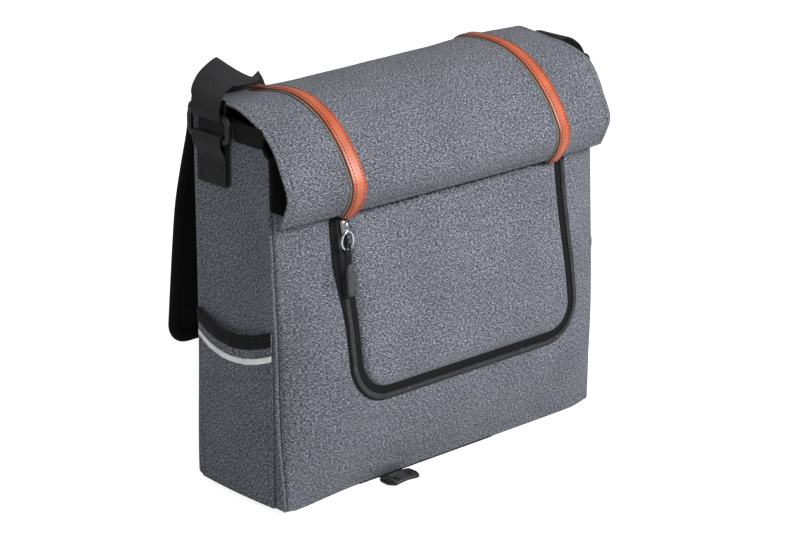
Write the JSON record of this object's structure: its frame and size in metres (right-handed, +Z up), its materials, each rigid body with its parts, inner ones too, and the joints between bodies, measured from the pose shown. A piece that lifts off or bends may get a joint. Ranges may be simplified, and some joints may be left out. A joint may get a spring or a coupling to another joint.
{
  "type": "messenger bag",
  "caption": "Upright fabric messenger bag with a rolled main flap, leather strips, zipped front pocket, side pockets, rear cover flap and shoulder strap.",
  "frame": {"origin": "centre of the flat base, on the surface that the bag stands on", "axes": "+Z up, -Y out of the front with the zipped pocket, +X towards the bag's right-hand side seen from the front"},
  "size_m": [0.4436, 0.1862, 0.3748],
  "materials": {
    "canvas": "heather grey canvas, matt",
    "lining": "black woven lining",
    "black_fabric": "black woven fabric",
    "leather": "orange-tan leather, semi-gloss",
    "ribbon": "khaki ribbon",
    "webbing": "black ribbed webbing",
    "plastic": "black moulded plastic, satin",
    "chrome": "bright plated",
    "reflector": "silver reflective tape",
    "board": "stiffening board"
  },
  "bodies": {
    "body": {"back_board": "board", "back_panel": "canvas", "base_board": "board", "base_panel": "canvas", "bottom_buckle": "plastic", "bottom_tab": "webbing", "front_panel": "canvas", "gusset_tab_left": "black_fabric", "gusset_tab_right": "black_fabric", "left_gusset": "canvas", "lining": "lining", "right_gusset": "canvas", "side_pocket_binding_left": "black_fabric", "side_pocket_binding_right": "black_fabric", "side_pocket_left": "canvas", "side_pocket_right": "canvas", "side_reflector_left": "reflector", "side_reflector_right": "reflector", "sleeve_divider": "lining", "strap_anchor_left": "webbing", "strap_anchor_right": "webbing", "strap_end_left": "webbing", "strap_end_right": "webbing", "strap_ring_left": "plastic", "strap_ring_right": "plastic", "zip_coil_outer": "plastic", "zipper_tape_outer": "black_fabric"},
    "main_flap": {"main_flap_shell": "canvas", "main_flap_lining": "lining", "strip_backing_left": "ribbon", "strip_backing_right": "ribbon", "leather_strip_left": "leather", "leather_strip_right": "leather"},
    "pocket_lid": {"pocket_lid_panel": "canvas", "zipper_tape_inner": "black_fabric", "zip_coil_inner": "plastic"},
    "zip_slider": {"zip_slider": "chrome"},
    "zip_pull": {"zip_pull_ring": "chrome", "zip_puller": "plastic"},
    "rear_flap": {"rear_cover_flap": "black_fabric", "rear_flap_edging": "webbing", "strap_loop": "webbing"},
    "strap_adjuster": {"strap_adjuster": "plastic"}
  },
  "joints": [
    {"name": "main_flap_hinge", "type": "hinge", "parent": "body", "child": "main_flap", "pos_m": [0, 0.0555, 0.334], "axis": [-1, 0, 0], "range_deg": [0, 90], "deforming": ["strap_end_left"]},
    {"name": "pocket_lid_hinge", "type": "hinge", "parent": "body", "child": "pocket_lid", "pos_m": [0.007, -0.0605, 0.2518], "axis": [-1, 0, 0], "range_deg": [0, 55]},
    {"name": "zip_slider_slide", "type": "slide", "parent": "pocket_lid", "child": "zip_slider", "axis": [0, -0.1862, -0.9825], "range_m": [0, 0.1]},
    {"name": "zip_pull_swing", "type": "hinge", "parent": "zip_slider", "child": "zip_pull", "pos_m": [-0.1232, -0.06895, 0.2412], "axis": [-1, 0, 0], "range_deg": [0, 70]},
    {"name": "rear_flap_hinge", "type": "hinge", "parent": "body", "child": "rear_flap", "pos_m": [0, 0.0565, 0.3315], "axis": [1, 0, 0], "range_deg": [0, 65], "deforming": ["strap_end_right"]},
    {"name": "strap_adjuster_slide", "type": "slide", "parent": "rear_flap", "child": "strap_adjuster", "axis": [0, 0.277, -0.9609], "range_m": [0, 0.018]}
  ]
}
